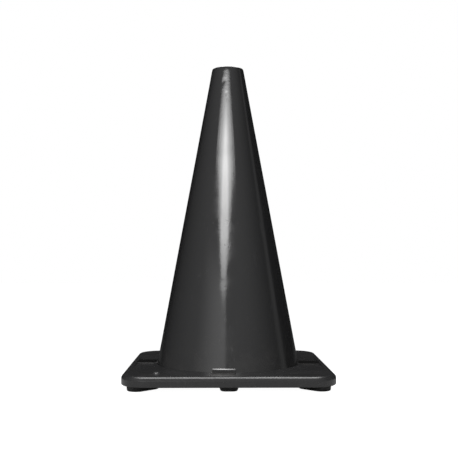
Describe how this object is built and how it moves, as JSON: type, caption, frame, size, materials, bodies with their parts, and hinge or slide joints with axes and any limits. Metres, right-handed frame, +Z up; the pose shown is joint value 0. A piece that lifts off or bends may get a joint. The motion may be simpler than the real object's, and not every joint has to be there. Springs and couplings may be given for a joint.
{
  "type": "traffic cone",
  "caption": "Black PVC traffic cone: hollow tapered shell with an open rim, locked by lugs into a heavy square base on rubber feet.",
  "frame": {"origin": "on the floor under the middle of the base", "axes": "+Z up along the cone's axis, -Y towards the front, +X to the right seen from the front"},
  "size_m": [0.283, 0.283, 0.45],
  "materials": {
    "shell_pvc": "smooth glossy flexible PVC, moulded in colour",
    "base_pvc": "satin heavy PVC, moulded in colour",
    "foot_rubber": "matte rubber"
  },
  "bodies": {
    "root": {"cone_body": "shell_pvc", "base": "base_pvc", "side_foot_front": "foot_rubber", "side_foot_right": "foot_rubber", "side_foot_back": "foot_rubber", "side_foot_left": "foot_rubber", "corner_foot_front_left": "foot_rubber", "corner_foot_front_right": "foot_rubber", "corner_foot_back_left": "foot_rubber", "corner_foot_back_right": "foot_rubber"}
  },
  "joints": []
}
